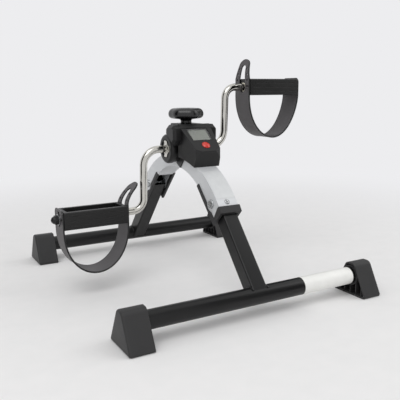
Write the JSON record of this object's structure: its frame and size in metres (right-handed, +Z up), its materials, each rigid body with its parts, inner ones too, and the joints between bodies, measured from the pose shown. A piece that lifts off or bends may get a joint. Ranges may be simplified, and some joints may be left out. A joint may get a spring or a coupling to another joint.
{
  "type": "pedal exerciser",
  "caption": "Folding under-desk pedal exerciser: arched housing with crank, strapped pedals, tension knob, small display and two hinged legs on foot bars.",
  "frame": {"origin": "on the floor, midway between the foot bars and between the pedals, under the crank axis", "axes": "+Z up, +X along the crank axis, -Y towards the display side"},
  "size_m": [0.4484, 0.4842, 0.3598],
  "materials": {
    "silver_paint": "satin silver-grey powder coat",
    "black_paint": "satin black powder coat",
    "black_plastic": "fine spark-eroded black moulding",
    "gloss_black": "polished black moulding",
    "black_rubber": "moulded rubber",
    "strap_rubber": "flexible PVC band",
    "chrome": "bright chrome plate",
    "zinc_steel": "zinc plated steel",
    "nylon": "natural nylon",
    "clear_window": "clear acrylic window",
    "lcd_glass": "grey-green unlit display",
    "board": "green solder mask",
    "red_plastic": "glossy red cap",
    "felt": "pressed wool felt",
    "white_label": "blank white film",
    "pale_label": "blank pale grey film"
  },
  "bodies": {
    "housing": {"arch_shell": "silver_paint", "axle_bracket": "zinc_steel", "axle_bushes": "nylon", "bracket_screws": "zinc_steel", "brake_nut": "zinc_steel", "base_cover": "black_plastic", "saddle_straps": "black_plastic", "console_case": "black_plastic", "display_bezel": "black_plastic", "lcd_lens": "clear_window", "lcd_panel": "lcd_glass", "lcd_frame": "black_plastic", "circuit_board": "board", "battery_cell": "zinc_steel", "reed_sensor": "black_plastic", "arm_label": "pale_label", "mouth_trim_front": "black_rubber", "mouth_trim_rear": "black_rubber", "fold_pin_front": "zinc_steel", "fold_pin_rear": "zinc_steel", "fold_spacers_front": "nylon", "fold_spacers_rear": "nylon"},
    "reset_button": {"reset_button": "red_plastic"},
    "brake": {"brake_felt": "felt", "brake_shoe": "zinc_steel"},
    "tension_knob": {"tension_screw": "zinc_steel", "tension_knob": "gloss_black"},
    "crank": {"crank_rod": "chrome", "hub_magnet": "zinc_steel", "hub_disc_left": "black_plastic", "hub_disc_right": "black_plastic", "star_clip_left": "chrome", "star_clip_right": "chrome", "spindle_washer_left": "zinc_steel", "spindle_washer_right": "zinc_steel", "acorn_nut_left": "black_plastic", "acorn_nut_right": "black_plastic"},
    "pedal_left": {"pedal_frame_left": "black_plastic", "pedal_bushes_left": "nylon", "pedal_strap_left": "strap_rubber"},
    "pedal_right": {"pedal_frame_right": "black_plastic", "pedal_bushes_right": "nylon", "pedal_strap_right": "strap_rubber"},
    "leg_front": {"leg_tube_front": "black_paint", "foot_bar_front": "black_paint", "foot_front_left": "black_rubber", "foot_front_right": "black_rubber", "wrap_label": "white_label"},
    "leg_rear": {"leg_tube_rear": "black_paint", "foot_bar_rear": "black_paint", "foot_rear_left": "black_rubber", "foot_rear_right": "black_rubber"}
  },
  "joints": [
    {"name": "front_leg_fold", "type": "hinge", "parent": "housing", "child": "leg_front", "pos_m": [0, -0.112, 0.1436], "axis": [1, 0, 0], "range_deg": [0, 62]},
    {"name": "rear_leg_fold", "type": "hinge", "parent": "housing", "child": "leg_rear", "pos_m": [0, 0.112, 0.1436], "axis": [-1, 0, 0], "range_deg": [0, 62]},
    {"name": "crank_spin", "type": "hinge", "parent": "housing", "child": "crank", "pos_m": [0, 0, 0.217], "axis": [1, 0, 0], "continuous": true},
    {"name": "left_pedal_spin", "type": "hinge", "parent": "crank", "child": "pedal_left", "pos_m": [-0.11, 0.00575, 0.12017], "axis": [1, 0, 0], "continuous": true},
    {"name": "right_pedal_spin", "type": "hinge", "parent": "crank", "child": "pedal_right", "pos_m": [0.11, -0.00575, 0.31383], "axis": [1, 0, 0], "continuous": true},
    {"name": "tension_turn", "type": "hinge", "parent": "brake", "child": "tension_knob", "pos_m": [0, -0.005, 0.264], "axis": [0, 0, 1], "range_deg": [0, 1080.1]},
    {"name": "brake_lift", "type": "slide", "parent": "housing", "child": "brake", "axis": [0, 0, 1], "range_m": [0, 0.0045]},
    {"name": "button_press", "type": "slide", "parent": "housing", "child": "reset_button", "axis": [0, 0.6139, -0.7894], "range_m": [0, 0.0015], "stiffness_N_per_m": 300}
  ],
  "couplings": [
    {"joint": "tension_turn", "follows": "brake_lift", "rad_per_m": 4188.8}
  ]
}
